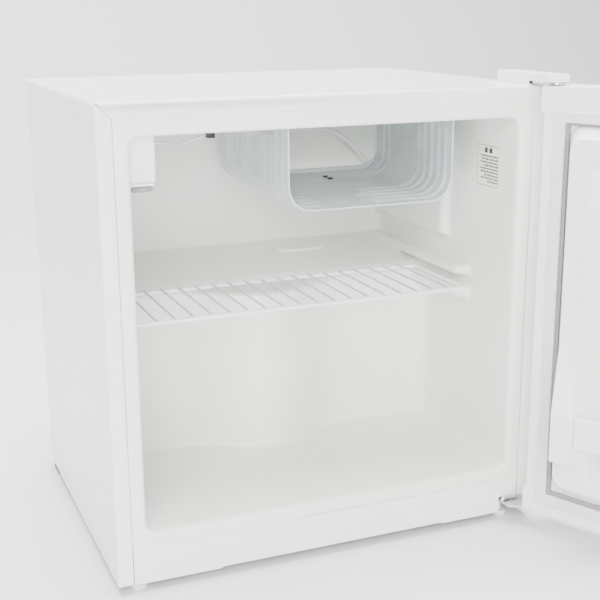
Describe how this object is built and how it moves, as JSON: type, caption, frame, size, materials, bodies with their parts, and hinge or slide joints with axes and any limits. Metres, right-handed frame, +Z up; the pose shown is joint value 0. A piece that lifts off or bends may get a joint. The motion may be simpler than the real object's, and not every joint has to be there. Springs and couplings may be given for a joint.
{
  "type": "mini fridge",
  "caption": "Cube-shaped refrigerator with its single door standing open, an enamelled steel cabinet, a freezing box, a wire shelf and a bottle rack in the door.",
  "frame": {"origin": "on the floor, at the middle of the flat underside of the base rail across the cabinet's rear", "axes": "+Z up; the cabinet opens towards -Y; +X is to the right of someone facing the open compartment, on the hinge side"},
  "size_m": [0.6847, 0.8468, 0.4915],
  "materials": {
    "cabinet_paint": "gloss, fine orange peel",
    "door_paint": "gloss, fine orange peel",
    "galvanised_steel": "dull spangle",
    "liner_plastic": "semi-gloss, vacuum formed",
    "door_liner_plastic": "semi-gloss, vacuum formed",
    "foam": "cut foam",
    "black_steel": "semi-gloss black",
    "foot_plastic": "moulded",
    "evaporator_aluminium": "lacquered, satin",
    "white_plastic": "moulded",
    "bare_metal": "drawn tube",
    "black_plastic": "moulded",
    "dial_plastic": "moulded, serrated",
    "label_film": "printed film with plain bars",
    "coated_wire": "dipped vinyl coating over wire",
    "black_rubber": "matt",
    "zinc_steel": "bright zinc plate",
    "copper": "drawn copper",
    "condenser_enamel": "black dip enamel",
    "cap_plastic": "moulded, satin",
    "gasket_vinyl": "soft vinyl",
    "magnet_rubber": "flexible magnet",
    "bush_plastic": "moulded acetal"
  },
  "bodies": {
    "cabinet": {"outer_shell": "cabinet_paint", "kick_plate": "cabinet_paint", "rear_panel": "galvanised_steel", "compressor_well": "galvanised_steel", "bottom_pan": "galvanised_steel", "inner_liner": "liner_plastic", "cabinet_foam": "foam", "rear_skid": "black_steel", "compressor_tray": "galvanised_steel", "evaporator": "evaporator_aluminium", "evaporator_screws": "white_plastic", "suction_sleeve": "white_plastic", "thermostat_housing": "liner_plastic", "thermostat_body": "galvanised_steel", "sensing_tube": "bare_metal", "tube_clip": "black_plastic", "caution_label": "label_film", "compressor": "black_steel", "compressor_feet": "black_steel", "compressor_grommets": "black_rubber", "compressor_bolts": "zinc_steel", "relay_cover": "black_plastic", "process_stub": "copper", "discharge_tube": "copper", "suction_tube": "copper", "filter_drier": "copper", "capillary_tube": "copper", "condenser_tube": "condenser_enamel", "condenser_wires": "condenser_enamel", "condenser_brackets": "zinc_steel", "condenser_screws": "zinc_steel", "mains_gland": "black_plastic", "top_hinge_bracket": "zinc_steel", "top_hinge_pin": "zinc_steel", "top_hinge_screws": "zinc_steel", "top_hinge_cover": "white_plastic", "bottom_hinge_bracket": "zinc_steel", "bottom_hinge_pin": "zinc_steel", "bottom_hinge_screws": "zinc_steel"},
    "door": {"door_skin": "door_paint", "door_top_cap": "cap_plastic", "door_bottom_cap": "cap_plastic", "door_liner": "door_liner_plastic", "door_foam": "foam", "door_gasket": "gasket_vinyl", "gasket_magnets": "magnet_rubber", "door_rack_guard": "door_liner_plastic", "grip_insert": "cap_plastic", "bush_top": "bush_plastic", "bush_bottom": "bush_plastic"},
    "control_dial": {"control_dial": "dial_plastic"},
    "shelf": {"wire_shelf": "coated_wire"},
    "left_foot": {"front_foot_left": "foot_plastic"},
    "right_foot": {"front_foot_right": "foot_plastic"}
  },
  "joints": [
    {"name": "door_hinge", "type": "hinge", "parent": "cabinet", "child": "door", "pos_m": [0.2305, -0.364, 0.25], "axis": [0, 0, 1], "range_deg": [-115, 20]},
    {"name": "dial_turn", "type": "hinge", "parent": "cabinet", "child": "control_dial", "pos_m": [-0.1898, -0.305, 0.397], "axis": [0, 0, 1], "range_deg": [0, 270]},
    {"name": "shelf_slide", "type": "slide", "parent": "cabinet", "child": "shelf", "axis": [0, -1, 0], "range_m": [0, 0.115]},
    {"name": "left_foot_screw", "type": "slide", "parent": "cabinet", "child": "left_foot", "axis": [0, 0, -1], "range_m": [0, 0.008]},
    {"name": "right_foot_screw", "type": "slide", "parent": "cabinet", "child": "right_foot", "axis": [0, 0, -1], "range_m": [0, 0.008]}
  ]
}
